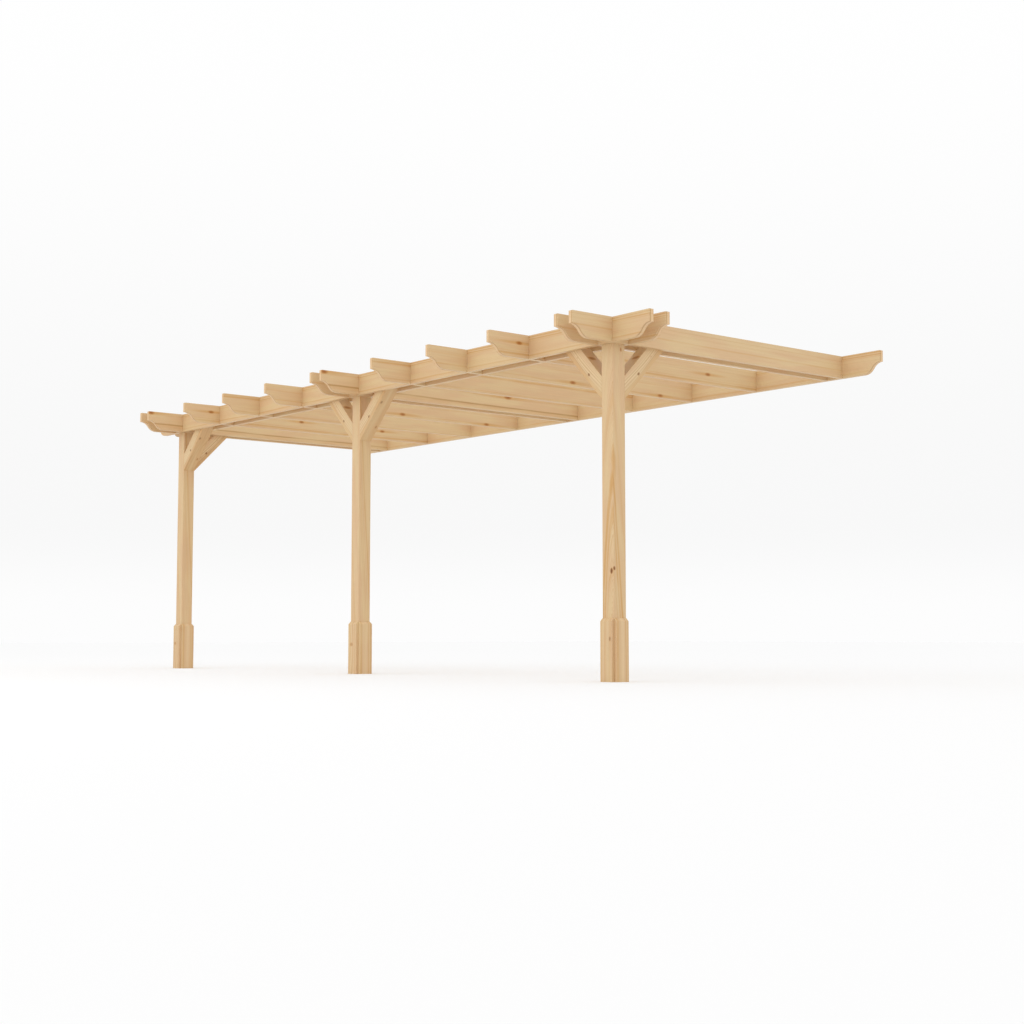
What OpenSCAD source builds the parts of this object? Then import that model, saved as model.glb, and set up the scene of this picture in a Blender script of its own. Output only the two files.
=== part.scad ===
// Lean-to timber pergola: three square posts in a row carry a pair of front beams,
// a deck of rafters crosses them and runs back to a ledger board on a wall.
// Millimetres. The origin is the middle of the ledger's wall face, +X runs along the
// wall to the right, +Y points into the wall and +Z is up.

/* [Overall] */
// Length along the wall, from beam tip to beam tip
overall_length = 6000; // [5000:10:7200]
// Depth from the wall to the rafter tips
overall_depth = 2400; // [1900:10:3600]
// Height from the ground to the top of the boards
overall_height = 2100; // [1900:10:2600]

/* [Boards] */
// Depth of the beams, the rafters and the ledger
board_depth = 145; // [130:1:195]
// Thickness of the beams, the rafters and the ledger
board_thickness = 33; // [26:1:45]
// Reach of every board past the last board that it crosses
overhang = 306; // [220:1:400]
// Room on each side of a board in its halving joint
halving_play = 0.5; // [0.2:0.1:1]

/* [Shaped board ends] */
// Height of the plain upright tip above the ogee
tip_height = 72.5; // [50:0.5:90]
// Length of the ogee along the board
ogee_length = 136; // [110:1:180]

/* [Posts] */
// Side of the square posts, and the gap between paired boards
post_side = 95; // [70:1:140]
// Radius of the planed corners of the posts
post_corner_radius = 2; // [1:0.5:8]

/* [Rafters] */
// Single rafters between one pair at a post and the next pair
rafters_per_bay = 3; // [1:1:5]

/* [Knee braces] */
// Depth of a brace, square to its length
brace_depth = 95; // [70:1:120]
// Distance from the post to where a brace's underside meets the boards' underside
brace_reach = 317; // [230:1:400]
// Angle of the braces from level
brace_angle = 45; // [40:1:50]

/* [Base blocks] */
// Height of the blocks round the foot of a post
base_block_height = 365; // [250:1:450]
// Thickness of the blocks
base_block_thickness = 20; // [16:1:30]
// Flat left on top of a block, behind its sloped edge
base_block_top_land = 2; // [1:0.5:6]

/* [Hidden] */
$fn = 96;
// How far a cutting shape runs past what it cuts
cut_overrun = 5;
// How far the round of an ogee runs into its cove, so that the two arcs cross cleanly
arc_lap = 0.15;
pine = "#DDBE92";
pale_pine = "#E4C9A0";
warm_pine = "#D6B384";

// Levels, measured from the middle of the ledger
board_top = board_depth / 2;
board_bottom = -board_depth / 2;
ground = board_top - overall_height;

// The ogee is two equal arcs, a cove under the tip and a round into the underside
ogee_rise = board_depth - tip_height;
ogee_radius = (pow(ogee_length, 2) + pow(ogee_rise, 2)) / (4 * ogee_rise);
cove_centre_height = ogee_rise - ogee_radius;

// Places of the posts, and of the boards that clasp them
SIDES = ["left", "middle", "right"];
post_spacing = overall_length / 2 - overhang - board_thickness - post_side / 2;
post_xs = [-post_spacing, 0, post_spacing];
post_y = -(overall_depth - overhang - board_thickness - post_side / 2);
pair_offset = (post_side + board_thickness) / 2;
outer_beam_y = post_y - pair_offset;
inner_beam_y = post_y + pair_offset;
ledger_y = -board_thickness / 2;
cross_board_ys = [outer_beam_y, inner_beam_y, ledger_y];

// Places of the rafters from left to right: a pair at each post, singles between
last_post = len(post_xs) - 1;
rafter_step = (post_spacing - 2 * pair_offset) / (rafters_per_bay + 1);
rafter_xs = [
    for (p = [0 : last_post])
        each concat(
            [post_xs[p] - pair_offset, post_xs[p] + pair_offset],
            [for (k = [1 : 1 : p < last_post ? rafters_per_bay : 0]) post_xs[p] + pair_offset + k * rafter_step]
        )
];

// Braces: the post that each stands against, and the way it leans from that post
BRACES = [
    [0, "right"], [0, "back"],
    [1, "left"], [1, "right"],
    [2, "left"], [2, "back"]
];
BLOCK_FACES = ["front", "right", "back", "left"];

// Turn about the post that brings a piece made facing +X round to a named side
function turn_to(side) = side == "right" ? 0 : side == "back" ? 90 : side == "left" ? 180 : 270;

function post_name(p) = str(SIDES[p], "_post");
function block_name(p, face) = str(post_name(p), "_", face, "_base_block");
function brace_name(b) = str(post_name(BRACES[b][0]), "_", BRACES[b][1], "_brace");
function rafter_name(r) = str("rafter_", r < 9 ? "0" : "", r + 1);

// Square post outline with planed corners
module post_outline() {
    core = post_side - 2 * post_corner_radius;
    square([core, post_side], center = true);
    square([post_side, core], center = true);
    for (sx = [-1, 1])
        for (sy = [-1, 1])
            translate([sx * core / 2, sy * core / 2])
                circle(r = post_corner_radius);
}

// Post from the ground to the top of the boards that clasp it
module post(p) {
    color(pine)
        translate([post_xs[p], post_y, ground])
            linear_extrude(overall_height)
                post_outline();
}

// Block on one face of a post's foot, its top edge sloped to shed rain
module base_block(p, face) {
    slope = base_block_thickness - base_block_top_land;
    color(pale_pine)
        translate([post_xs[p], post_y, ground])
            rotate(turn_to(face))
                translate([post_side / 2, post_side / 2, 0])
                    rotate([90, 0, 0])
                        linear_extrude(post_side)
                            polygon([
                                [0, 0],
                                [base_block_thickness, 0],
                                [base_block_thickness, base_block_height - slope],
                                [base_block_top_land, base_block_height],
                                [0, base_block_height]
                            ]);
}

// Knee brace in the gap between paired boards: plumb cut on the post, level cut on top
module brace(b) {
    p = BRACES[b][0];
    heel = board_bottom - brace_reach * tan(brace_angle);
    top_out = brace_reach + board_depth / tan(brace_angle);
    color(pale_pine)
        translate([post_xs[p], post_y, 0])
            rotate(turn_to(BRACES[b][1]))
                translate([post_side / 2, post_side / 2, 0])
                    rotate([90, 0, 0])
                        linear_extrude(post_side)
                            polygon([
                                [0, heel],
                                [top_out, board_top],
                                [top_out - brace_depth / sin(brace_angle), board_top],
                                [0, heel + brace_depth / cos(brace_angle)]
                            ]);
}

// What the ogee takes off a board whose tip stands at zero and whose underside is level with zero
module ogee_cut() {
    below = min(cove_centre_height, 0) - cut_overrun;
    translate([0, cove_centre_height])
        circle(r = ogee_radius);
    difference() {
        polygon([
            [0, cove_centre_height],
            [ogee_length, ogee_radius],
            [ogee_length, below],
            [0, below]
        ]);
        translate([ogee_length, ogee_radius])
            circle(r = ogee_radius + arc_lap);
    }
}

// Board along +X from zero, centred on its thickness and depth, with an ogee at one end or both
module shaped_board(length, both_ends) {
    translate([0, board_thickness / 2, board_bottom])
        rotate([90, 0, 0])
            linear_extrude(board_thickness)
                difference() {
                    square([length, board_depth]);
                    ogee_cut();
                    if (both_ends)
                        translate([length, 0])
                            mirror([1, 0])
                                ogee_cut();
                }
}

// Slot for a crossing board at each place along X, in the upper or the lower half of a board
module halving_slots(places, upper) {
    slot = board_thickness + 2 * halving_play;
    for (place = places)
        translate([place - slot / 2, -board_thickness / 2 - cut_overrun, upper ? 0 : board_bottom - cut_overrun])
            cube([slot, board_thickness + 2 * cut_overrun, board_depth / 2 + cut_overrun]);
}

// Board along the wall, shaped at both ends and slotted from above for the rafters
module cross_board(y) {
    translate([-overall_length / 2, y, 0])
        difference() {
            shaped_board(overall_length, true);
            halving_slots([for (x = rafter_xs) x + overall_length / 2], true);
        }
}

module outer_front_beam() {
    color(pine)
        cross_board(outer_beam_y);
}

module inner_front_beam() {
    color(pine)
        cross_board(inner_beam_y);
}

module wall_ledger() {
    color(warm_pine)
        cross_board(ledger_y);
}

// Rafter from its shaped tip back to the wall, slotted from below over both beams and the ledger
module rafter(r) {
    color(warm_pine)
        translate([rafter_xs[r], -overall_depth, 0])
            rotate(90)
                difference() {
                    shaped_board(overall_depth, false);
                    halving_slots([for (y = cross_board_ys) y + overall_depth], false);
                }
}

for (p = [0 : last_post]) {
    post(p);
    for (face = BLOCK_FACES)
        base_block(p, face);
}
for (b = [0 : len(BRACES) - 1])
    brace(b);
outer_front_beam();
inner_front_beam();
wall_ledger();
for (r = [0 : len(rafter_xs) - 1])
    rafter(r);
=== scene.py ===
import math
import random

import bpy
from mathutils import Euler, Matrix, Vector


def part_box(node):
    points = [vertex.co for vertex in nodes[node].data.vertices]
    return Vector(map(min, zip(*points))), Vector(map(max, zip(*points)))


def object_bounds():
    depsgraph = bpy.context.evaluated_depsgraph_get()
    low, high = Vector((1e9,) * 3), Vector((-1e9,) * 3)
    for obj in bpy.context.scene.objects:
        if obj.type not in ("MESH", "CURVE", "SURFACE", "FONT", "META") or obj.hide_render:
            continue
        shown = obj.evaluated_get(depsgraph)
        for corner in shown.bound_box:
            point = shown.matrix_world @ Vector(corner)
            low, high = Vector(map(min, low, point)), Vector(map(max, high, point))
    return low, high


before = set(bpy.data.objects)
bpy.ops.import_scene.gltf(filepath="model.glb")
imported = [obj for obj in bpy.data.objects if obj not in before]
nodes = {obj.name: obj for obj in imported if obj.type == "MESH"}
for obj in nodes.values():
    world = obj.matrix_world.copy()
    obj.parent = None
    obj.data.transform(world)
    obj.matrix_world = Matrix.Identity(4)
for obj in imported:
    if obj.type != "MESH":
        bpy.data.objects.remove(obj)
cad_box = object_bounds()

# Posts
# Three square posts of planed pine, sawn clear of the heart of the tree, with lightly rounded
# corners. They stand on the ground and rise between the paired boards that clasp their faces.
MM = 0.001


def linear(hex_colour):
    """Linear RGBA of an sRGB hex colour."""
    parts = [int(hex_colour[i:i + 2], 16) / 255 for i in (1, 3, 5)]
    return [c / 12.92 if c <= 0.04045 else ((c + 0.055) / 1.055) ** 2.4 for c in parts] + [1]


def add(tree, kind, *inputs, named=None, greys=(), **settings):
    """Adds a node with its settings, links or sets its inputs, and returns its first output.

    The greys of a colour ramp are places along it and their levels, eased from one to the next.
    """
    node = tree.nodes.new("ShaderNode" + kind)
    for key, value in settings.items():
        setattr(node, key, value)
    for key, value in [*enumerate(inputs), *(named or {}).items()]:
        if isinstance(value, bpy.types.NodeSocket):
            tree.links.new(value, node.inputs[key])
        elif value is not None:
            node.inputs[key].default_value = value
    if greys:
        node.color_ramp.interpolation = "EASE"
    for number, (place, level) in enumerate(greys):
        stops = node.color_ramp.elements
        stop = stops[number] if number < len(stops) else stops.new(place)
        stop.position = place
        stop.color = (level, level, level, 1)
    return next((out for out in node.outputs if out.enabled), None)


# Planed pine: pale sapwood crossed by fine lines of late wood, with a few amber or brown streaks
# from years of slow growth. The lines run straight on a board sawn near the bark and arch on a
# face that dips towards the heart. They swell round the knots, and the surface is satin.
EARLY_WOOD = "#DDC092"
ROSY_WOOD = "#DAB78C"
LATE_WOOD = "#C29459"
AMBER = "#CFA164"
SEED_STEPS = (1.7, 0.37, 2.3)

# Across one ring the late wood deepens slowly and ends sharply. Most rings are faint.
RING_WIDTH = 3.5 * MM
RING_PROFILE = [(0.0, 0.35), (0.12, 0.0), (0.5, 0.1), (0.86, 1.0), (1.0, 0.35)]
RING_DRIFT = 3.0
DRIFT_SPAN = 6 * RING_WIDTH
FAINT_RING = 0.2
STRONG_RING = 0.9
RING_RARITY = 3.0

# The length, the width and the detail of the patterns that follow the grain. Real fibres are far
# finer than these, which are as fine as shows.
WOBBLE_NOISE = (700 * MM, 140 * MM, 2.5)
WOBBLE = 10 * MM
TINT_NOISE = (380 * MM, 50 * MM, 1.5)
ROSY_RANGE = (0.35, 0.65)
BROKEN_RANGE = (0.35, 0.55)
BROKEN_STREAK = 0.5
FIBRE_NOISE = (220 * MM, 2.2 * MM, 2.0)
FIBRE_RANGE = (0.25, 0.75)
FIBRE_TONES = (0.95, 1.05)

# The shares of a mark's own size between which it fades out.
STREAK_FADE = (0.3, 1.4)
FLAME_FADE = (0.25, 1.0)
CORE_FADE = (0.6, 1.2)
RIM_FADE = (0.2, 0.9)
TAIL_FADE = (0.2, 1.2)
SWELL_FADE = (0.3, 2.5)
NARROW_FADE = (0.3, 0.6)
END_FADE_SHARE = 0.7

# Knots: the colours of the heart and the rim, and the strength of the amber tails. The tails are
# so many times as long as the knot, and the rings swell round it by this share of its half width.
SPIKE_KNOT = ("#A56A33", "#C48E4C", 0.0)
DEAD_KNOT = ("#78440E", "#9E641E", 0.0)
KNOT_TAIL = 7
KNOT_SWELL = 0.8

PINE_IOR = 1.5
SATIN = (0.44, 0.58)
GRAIN_RELIEF = 0.25 * MM
RELIEF_STRENGTH = 0.5
LATE_WOOD_RELIEF = 0.6


def planed_pine(name, turn, heart, seed, streaks=(), knots=(), flames=(), ends=None, taper=0.0, figure=1.0):
    """Pine whose heart runs through a point along a turned X axis.

    A streak is a distance from the heart, a half width, a strength and a colour. A knot is a
    place on a face, half a length, half a width, a strength and a kind: the colours of its heart
    and rim, and the strength of its amber tails. A flame is a pointed patch where the face just
    shaves an amber ring, given like a knot without a kind. Lengths are in millimetres, apart from
    the place. Shaped ends are half the board's length, the length of the shape, and the lines of
    painted shade and painted highlight drawn there, each given like a streak across the board's thickness.
    """
    material = bpy.data.materials.new(name)
    material.use_nodes = True
    tree = material.node_tree
    tree.nodes.clear()
    shift = Vector([step * seed for step in SEED_STEPS])
    to_local = (Matrix.Translation(heart) @ turn.to_matrix().to_4x4()).inverted()

    where = add(tree, "TexCoord").node.outputs
    local = add(tree, "Mapping", where["Object"], Vector(heart), turn, vector_type="TEXTURE")
    along = add(tree, "SeparateXYZ", local)
    across = add(tree, "VectorMath", local, (0, 1, 1), operation="MULTIPLY")
    from_heart = add(tree, "VectorMath", across, operation="LENGTH").node.outputs["Value"]

    def grain_noise(length, width, detail):
        scale = (1 / length, 1 / width, 1 / width)
        place = add(tree, "VectorMath", local, scale, shift, operation="MULTIPLY_ADD")
        return add(tree, "TexNoise", place, named={"Scale": 1.0, "Detail": detail})

    def share_of(spot, half_length, half_width):
        offset = add(tree, "VectorMath", local, to_local @ spot, operation="SUBTRACT")
        squeeze = Vector((1 / half_length, 1 / half_width, 1 / half_width)) / MM
        scaled = add(tree, "VectorMath", offset, squeeze, operation="MULTIPLY")
        return add(tree, "VectorMath", scaled, operation="LENGTH").node.outputs["Value"]

    def line_at(value, distance, half_width, depth):
        off = add(tree, "Math", value, distance * MM, operation="SUBTRACT")
        away = add(tree, "Math", off, operation="ABSOLUTE")
        full, gone = (share * half_width * MM for share in STREAK_FADE)
        return add(tree, "MapRange", away, full, gone, depth, 0.0, interpolation_type="SMOOTHSTEP")

    wobble = grain_noise(*WOBBLE_NOISE)
    bend = add(tree, "MapRange", wobble, 0.0, 1.0, -WOBBLE, WOBBLE)
    tapered = add(tree, "Math", along, taper, from_heart, operation="MULTIPLY_ADD")
    radius = add(tree, "Math", tapered, bend, operation="ADD")
    marks = []
    for spot, half_length, half_width, depth, kind in knots:
        core_share = share_of(spot, half_length, half_width)
        tail_share = share_of(spot, KNOT_TAIL * half_length, half_width)
        swell = add(tree, "MapRange", tail_share, *SWELL_FADE, KNOT_SWELL * half_width * MM, 0.0,
                    interpolation_type="SMOOTHSTEP")
        radius = add(tree, "Math", radius, swell, operation="ADD")
        marks.append((core_share, tail_share, depth, kind))

    drift = add(tree, "TexNoise", None, radius, noise_dimensions="1D",
                named={"Scale": 1 / DRIFT_SPAN, "Detail": 1.0})
    counted = add(tree, "Math", radius, 1 / RING_WIDTH, seed, operation="MULTIPLY_ADD")
    ring = add(tree, "Math", drift, RING_DRIFT, counted, operation="MULTIPLY_ADD")
    band = add(tree, "ValToRGB", add(tree, "Math", ring, operation="FRACT"), greys=RING_PROFILE)
    year = add(tree, "Math", ring, operation="FLOOR")
    season = add(tree, "TexWhiteNoise", None, year, noise_dimensions="1D")
    rare = add(tree, "Math", season, RING_RARITY, operation="POWER")
    strength = add(tree, "MapRange", rare, 0.0, 1.0, FAINT_RING * figure, STRONG_RING * figure)
    late = add(tree, "Math", band, strength, operation="MULTIPLY")

    tint = grain_noise(*TINT_NOISE)
    rosy = add(tree, "MapRange", tint, *ROSY_RANGE, 0.0, 1.0, interpolation_type="SMOOTHSTEP")
    broken = add(tree, "MapRange", tint, *BROKEN_RANGE, BROKEN_STREAK, 1.0,
                 interpolation_type="SMOOTHSTEP")
    wood = add(tree, "Mix", rosy, data_type="RGBA",
               named={"A": linear(EARLY_WOOD), "B": linear(ROSY_WOOD)})
    for *size, colour in streaks:
        line = add(tree, "Math", line_at(radius, *size), broken, operation="MULTIPLY")
        wood = add(tree, "Mix", line, data_type="RGBA", named={"A": wood, "B": linear(colour)})

    # On the shaped tips, lines of painted shade and painted highlight run across the board's thickness on
    # every face but the two broad ones.
    if ends:
        tip, shape_length, painted_light_lines = ends
        thickness_axis = turn.to_matrix() @ Vector((0, 1, 0))
        facing = add(tree, "VectorMath", where["Normal"], thickness_axis, operation="DOT_PRODUCT")
        broad = add(tree, "Math", facing.node.outputs["Value"], operation="ABSOLUTE")
        narrow = add(tree, "MapRange", broad, *NARROW_FADE, 1.0, 0.0)
        reach = add(tree, "Math", along, operation="ABSOLUTE")
        shape_start = tip - shape_length
        shape_full = tip - END_FADE_SHARE * shape_length
        on_end = add(tree, "MapRange", reach, shape_start, shape_full, 0.0, narrow)
        for *size, colour in painted_light_lines:
            line = line_at(along.node.outputs["Y"], *size)
            line = add(tree, "Math", line, on_end, operation="MULTIPLY")
            wood = add(tree, "Mix", line, data_type="RGBA", named={"A": wood, "B": linear(colour)})

    for spot, half_length, half_width, depth in flames:
        offset = add(tree, "VectorMath", local, to_local @ spot, operation="SUBTRACT")
        lengthwise = add(tree, "Math", add(tree, "SeparateXYZ", offset), operation="ABSOLUTE")
        sideways = add(tree, "VectorMath", offset, (0, 1, 1), operation="MULTIPLY")
        beside = add(tree, "VectorMath", sideways, operation="LENGTH").node.outputs["Value"]
        point_share = add(tree, "Math", lengthwise, 1 / (half_length * MM), operation="MULTIPLY")
        side_share = add(tree, "Math", beside, 1 / (half_width * MM), operation="MULTIPLY")
        flame_share = add(tree, "Math", point_share, side_share, operation="ADD")
        flame = add(tree, "MapRange", flame_share, *FLAME_FADE, depth, 0.0,
                    interpolation_type="SMOOTHSTEP")
        wood = add(tree, "Mix", flame, data_type="RGBA", named={"A": wood, "B": linear(AMBER)})

    wood = add(tree, "Mix", late, data_type="RGBA", named={"A": wood, "B": linear(LATE_WOOD)})
    for core_share, tail_share, depth, (heart_colour, rim_colour, tail_depth) in marks:
        tail = add(tree, "MapRange", tail_share, *TAIL_FADE, tail_depth, 0.0,
                   interpolation_type="SMOOTHSTEP")
        wood = add(tree, "Mix", tail, data_type="RGBA", named={"A": wood, "B": linear(AMBER)})
        rim = add(tree, "MapRange", core_share, *RIM_FADE, 0.0, 1.0)
        knot = add(tree, "Mix", rim, data_type="RGBA",
                   named={"A": linear(heart_colour), "B": linear(rim_colour)})
        core = add(tree, "MapRange", core_share, *CORE_FADE, depth, 0.0,
                   interpolation_type="SMOOTHSTEP")
        wood = add(tree, "Mix", core, data_type="RGBA", named={"A": wood, "B": knot})

    fibre = grain_noise(*FIBRE_NOISE)
    fibre_tone = add(tree, "MapRange", fibre, *FIBRE_RANGE, *FIBRE_TONES)
    toned = add(tree, "VectorMath", wood, operation="SCALE", named={"Scale": fibre_tone})
    relief = add(tree, "Math", late, LATE_WOOD_RELIEF, fibre, operation="MULTIPLY_ADD")
    bump = add(tree, "Bump", named={
        "Strength": RELIEF_STRENGTH, "Distance": GRAIN_RELIEF, "Height": relief})
    satin = add(tree, "MapRange", fibre, *FIBRE_RANGE, *SATIN)
    shader = add(tree, "BsdfPrincipled", named={
        "Base Color": toned, "Roughness": satin, "IOR": PINE_IOR, "Normal": bump})
    add(tree, "OutputMaterial", shader)
    return material


ARRIS_RADIUS = 0.4 * MM
ARRIS_ANGLE = math.radians(35)
FLAT_ANGLE = math.radians(0.5)
WELD_REACH = 0.02 * MM


def ease_arrises(piece):
    """Takes the sharp off a piece's edges, as a stroke of sandpaper does."""
    piece.modifiers.new("one skin", "WELD").merge_threshold = WELD_REACH
    flats = piece.modifiers.new("whole faces", "DECIMATE")
    flats.decimate_type = "DISSOLVE"
    flats.angle_limit = FLAT_ANGLE
    arris = piece.modifiers.new("eased arrises", "BEVEL")
    arris.width = ARRIS_RADIUS
    arris.segments = 2
    arris.limit_method = "ANGLE"
    arris.angle_limit = ARRIS_ANGLE
    piece.modifiers.new("even shading", "WEIGHTED_NORMAL").keep_sharp = True


def dress(node_name, *grain, **look):
    """Gives a CAD piece its own length of pine."""
    piece = nodes[node_name]
    piece.data.materials.clear()
    piece.data.materials.append(planed_pine("planed_pine_" + node_name, *grain, **look))
    ease_arrises(piece)


def middle_of(node_name):
    """Middle of a CAD piece's box."""
    low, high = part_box(node_name)
    return (low + high) / 2


def placed(marks, origin, axes=Matrix.Identity(3)):
    """Moves marks, whose places are in millimetres from an origin, onto the object."""
    return [(origin + axes @ (Vector(spot) * MM), *size) for spot, *size in marks]


# Each heart lies outside its post: how far to the right, to the back and up from the middle of
# the post it passes, and how far it leans to the right and to the back for each length it rises.
SLANTING = [(249, 5, 0.6, AMBER), (275, 4, 0.3, AMBER), (352, 6, 0.3, AMBER)]
ARCHES = [(76, 8, 1.0, AMBER), (58, 5.5, 0.8, AMBER), (38, 4, 0.3, AMBER), (128, 6, 0.35, AMBER)]
POST_GRAIN = {
    "left_post": ((197, 226, -142), (0, -0.062), SLANTING),
    "middle_post": ((197, 216, -142), (0, -0.062), SLANTING),
    "right_post": ((55, -127, 107), (0.032, -0.095), ARCHES),
}
POST_KNOTS = {
    "right_post": [((28.8, -47.5, -415), 19, 11, 1.0, DEAD_KNOT),
                   ((47.5, -42, -400), 13, 8.5, 0.9, DEAD_KNOT),
                   ((47.5, 17, 873), 14, 7, 0.9, SPIKE_KNOT)],
}
POST_FLAMES = {
    "right_post": [((47.5, -45, 235), 230, 26, 0.8)],
}
for seed, (name, (aside, lean, streaks)) in enumerate(POST_GRAIN.items(), 1):
    middle = middle_of(name)
    heart = middle + Vector(aside) * MM
    rise = Vector((*lean, 1)).to_track_quat("X", "Y").to_euler()
    knots = placed(POST_KNOTS.get(name, []), middle)
    flames = placed(POST_FLAMES.get(name, []), middle)
    dress(name, rise, heart, seed, streaks, knots, flames, figure=0.9)

# Base blocks
# Short boards nailed to the four faces of each post's foot, with a sloped top that sheds rain.
# They are planed pine with upright grain, and their corners are left open.
UPRIGHT = Euler((0, -math.pi / 2, 0))
PALE = "#EBD3A8"
BLOCK_GRAIN = {
    "front": ((150, 0, 0), [(188, 4, 0.5, AMBER), (172, 7, 0.3, PALE), (157, 4, 0.5, AMBER),
                            (138, 6, 0.35, PALE), (122, 4, 0.5, AMBER)]),
    "right": ((0, 150, 0), [(186, 9, 0.65, AMBER), (152, 14, 0.35, PALE), (124, 4, 0.6, AMBER),
                            (108, 5, 0.6, AMBER)]),
    "back": ((-150, 0, 0), [(165, 5, 0.5, AMBER), (128, 4, 0.4, AMBER)]),
    "left": ((0, -150, 0), [(155, 7, 0.5, AMBER), (118, 4, 0.4, AMBER)]),
}
BLOCK_KNOTS = {
    "left_post_front_base_block": [((-17, -10, 23), 14, 19, 0.6, SPIKE_KNOT)],
    "middle_post_front_base_block": [((-9, -10, 23), 14, 21, 0.55, SPIKE_KNOT)],
    "right_post_front_base_block": [((33, -10, 63), 15, 8, 0.6, DEAD_KNOT)],
}
draw = random.Random(11)
for name in sorted(n for n in nodes if n.endswith("base_block")):
    face = name.split("_")[2]
    aside, streaks = BLOCK_GRAIN[face]
    middle = middle_of(name)
    heart = middle + Vector(aside) * MM
    knots = placed(BLOCK_KNOTS.get(name, []), middle)
    dress(name, UPRIGHT, heart, draw.uniform(20, 40), streaks, knots, figure=0.9)

# Front beams and wall ledger
# Three long planed pine boards with an ogee at both tips and slots along the top edge.
# Two beams clasp the posts, and the third is screwed to the wall.
ALONG_X = Euler((0, 0, 0))
BOARD_HEART_DROP = 250 * MM
OGEE_LENGTH = 136 * MM
BROWN = "#B68B52"
# Painted light on the ogee tips: a brown line of painted shade along the edge by the broad face, and a pale
# strip of painted highlight on the cut face beside it.
OGEE_HIGHLIGHT_PAINT = "#ECC69A"
OGEE_SHADE_AND_HIGHLIGHT_LINES = [(-9, 4.5, 0.65, BROWN), (5, 7, 0.8, OGEE_HIGHLIGHT_PAINT)]
BEAM_STREAKS = [(313, 4, 1.0, AMBER), (299, 4, 0.9, AMBER), (289, 3, 0.4, AMBER), (200, 5, 0.6, AMBER)]


def dress_board(node_name, turn, seed, streaks, *marks, **look):
    """Gives a board straight grain from a heart below it, and lines of painted shade and painted highlight
    on its shaped tips.
    """
    low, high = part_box(node_name)
    heart = middle_of(node_name) - Vector((0, 0, BOARD_HEART_DROP))
    ends = (max(high - low) / 2, OGEE_LENGTH, OGEE_SHADE_AND_HIGHLIGHT_LINES)
    dress(node_name, turn, heart, seed, streaks, *marks, ends=ends, **look)


for seed, name in enumerate(("outer_front_beam", "inner_front_beam", "wall_ledger"), 50):
    dress_board(name, ALONG_X, seed, BEAM_STREAKS, figure=0.8)

# Rafters
# Twelve planed pine boards with an ogee at the front tip, slotted from below over the beams and
# the ledger.
ALONG_Y = Euler((0, 0, math.pi / 2))
LIVE_KNOT = ("#A4642A", "#C48E4C", 0.85)

# Each kind of board has streaks, a taper, and knots: how far from the wall and how high each one
# is, and half its length and width.
KNOTTY = ([(196, 7, 0.8, AMBER), (212, 3, 0.4, AMBER)], 0.003,
          [(2171, 17, 29, 12.5), (1330, 8, 28, 12), (518, -3, 29, 12.5)])
LINED = ([(214, 6, 0.9, BROWN), (200, 9, 0.3, AMBER), (296, 4, 0.5, AMBER)], 0.01,
         [(2383, 62, 34, 17), (742, 38, 42, 18)])
EDGE_KNOTTED = ([(204, 5, 0.5, AMBER), (272, 4, 0.3, AMBER)], 0.006,
                [(1185, -49, 31, 13.5), (355, -58, 31, 12.5)])
TOP_STREAKED = ([(293, 7, 0.9, AMBER), (307, 4, 0.8, AMBER), (190, 5, 0.4, AMBER)], 0.006, [])
PLAIN = ([(237, 5, 0.5, AMBER)], 0.0095, [])
RAFTER_KINDS = [PLAIN, LINED, KNOTTY, TOP_STREAKED, EDGE_KNOTTED, PLAIN,
                LINED, TOP_STREAKED, EDGE_KNOTTED, KNOTTY, PLAIN, PLAIN]
for number, (streaks, taper, marks) in enumerate(RAFTER_KINDS, 1):
    name = f"rafter_{number:02d}"
    right_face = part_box(name)[1].x
    knots = [(Vector((right_face, -out * MM, up * MM)), *size, 1.0, LIVE_KNOT) for out, up, *size in marks]
    dress_board(name, ALONG_Y, number + 60, streaks, knots, taper=taper, figure=0.7)

# Knee braces
# Square struts at 45 degrees that stiffen the posts, cut plumb on the post and level on top.
# They are planed pine, lined in the upper half, with small knots on all the faces that show.
LEAN = -math.pi / 4
HEADINGS = {"right": 0, "back": math.pi / 2, "left": math.pi}
BRACE_HEART_DROP = 200 * MM
BRACE_STREAKS = [(266, 24, 0.55, PALE), (279, 3.5, 0.45, BROWN), (262, 3.5, 0.5, BROWN),
                 (248, 3.5, 0.35, BROWN), (231, 4, 0.5, BROWN), (212, 20, 0.5, AMBER)]
BRACE_KNOTS = [((190, -47.5, 33), 12, 8.5, 0.8, DEAD_KNOT), ((343, -47.5, 42), 9, 6, 0.3, SPIKE_KNOT),
               ((345, -32, 0), 14, 9, 0.6, DEAD_KNOT), ((128, 27, 0), 15, 9, 0.7, SPIKE_KNOT),
               ((274, -8, 95), 17, 34, 0.85, SPIKE_KNOT)]
for name in sorted(n for n in nodes if n.endswith("brace")):
    side = name.split("_")[2]
    low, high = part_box(name)
    heel = middle_of(name)
    heel.z = low.z
    if side == "back":
        heel.y = low.y
    else:
        heel.x = low.x if side == "right" else high.x
    turn = Euler((0, LEAN, HEADINGS[side]))
    axes = turn.to_matrix()
    mirror = Matrix.Diagonal((1, -1 if side == "left" else 1, 1))
    knots = placed(BRACE_KNOTS, heel, axes @ mirror)
    heart = heel - axes @ Vector((0, 0, BRACE_HEART_DROP))
    dress(name, turn, heart, draw.uniform(100, 140), BRACE_STREAKS, knots, figure=0.6)

# Studio
# A plain white floor and surround, faintly grey just above the horizon, with soft light from all
# round and a little more from the front. The view is from low down at the front right corner.
FLOOR_REACH = 60
FLOOR_BOUNCE = "#E6E6E6"
FLOOR_SEEN = "#F6F6F6"
ground = cad_box[0].z
bpy.ops.mesh.primitive_plane_add(size=2 * FLOOR_REACH, location=(0, 0, ground))
floor = bpy.context.object
floor.name = "studio_floor"


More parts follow.
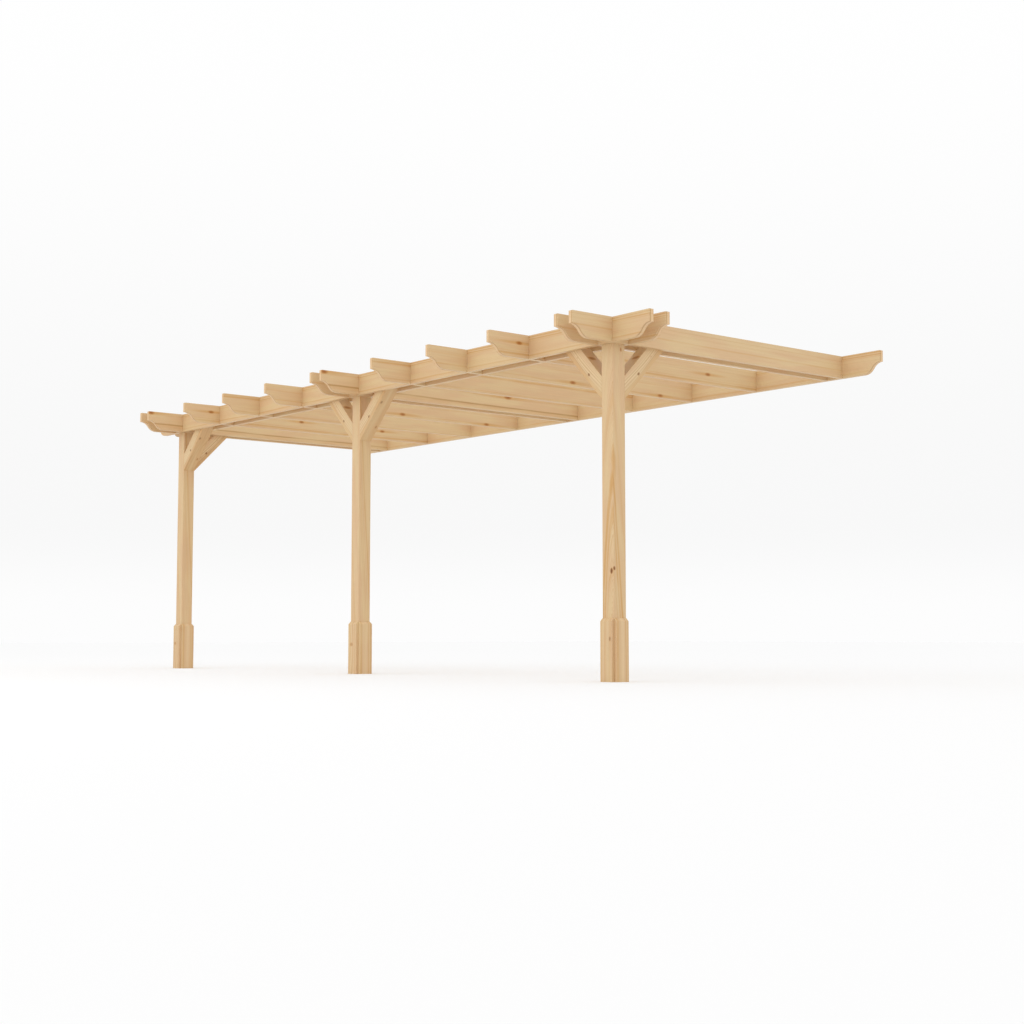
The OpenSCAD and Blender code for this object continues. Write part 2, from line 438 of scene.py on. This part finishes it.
def seen_directly(tree):
    """One for the rays that show a background, and zero for the rays that light the object."""
    rays = add(tree, "LightPath").node.outputs
    seen = add(tree, "Math", rays["Is Camera Ray"], rays["Is Glossy Ray"], operation="MAXIMUM")
    return add(tree, "Math", seen, rays["Is Transmission Ray"], operation="MAXIMUM")


floor_paint = bpy.data.materials.new("matt_white_floor")
floor_paint.use_nodes = True
paint = floor_paint.node_tree
paint.nodes.clear()
bounce = add(paint, "BsdfDiffuse", linear(FLOOR_BOUNCE))
matt = add(paint, "BsdfDiffuse", linear(FLOOR_SEEN))
add(paint, "OutputMaterial", add(paint, "MixShader", seen_directly(paint), bounce, matt))
floor.data.materials.append(floor_paint)

SKY_LEVEL = 1.05
HAZE = [(0.015, 0.982), (0.07, 0.942), (0.37, 0.997)]
world = bpy.data.worlds.new("white_surround")
bpy.context.scene.world = world
world.use_nodes = True
sky = world.node_tree
sky.nodes.clear()
lighting = add(sky, "Background", linear("#FFFFFF"), SKY_LEVEL)
height = add(sky, "SeparateXYZ", add(sky, "TexCoord").node.outputs["Generated"]).node.outputs["Z"]
backdrop = add(sky, "Background", add(sky, "ValToRGB", height, greys=HAZE), 1.0)
add(sky, "OutputWorld", add(sky, "MixShader", seen_directly(sky), lighting, backdrop))

SOFTBOX_PLACE = Vector((-1, -11, 3))
SOFTBOX_AIM = Vector((0, -1, -1))
softbox = bpy.data.lights.new("front_softbox", "AREA")
softbox.energy = 100
softbox.size = 8
lamp = bpy.data.objects.new("front_softbox", softbox)
bpy.context.scene.collection.objects.link(lamp)
lamp.location = SOFTBOX_PLACE
lamp.rotation_euler = (SOFTBOX_AIM - SOFTBOX_PLACE).to_track_quat("-Z", "Y").to_euler()

EYE_PLACE = (9.3410, -8.2821, -1.7721)
EYE_TILT = math.radians(94.501)
EYE_HEADING = math.radians(50.6985)
camera = bpy.data.cameras.new("low_corner_view")
camera.sensor_width = 36
camera.lens = 55.92
viewer = bpy.data.objects.new("low_corner_view", camera)
bpy.context.scene.collection.objects.link(viewer)
viewer.location = EYE_PLACE
viewer.rotation_euler = (EYE_TILT, 0, EYE_HEADING)
bpy.context.scene.camera = viewer
bpy.context.scene.view_settings.view_transform = "Standard"
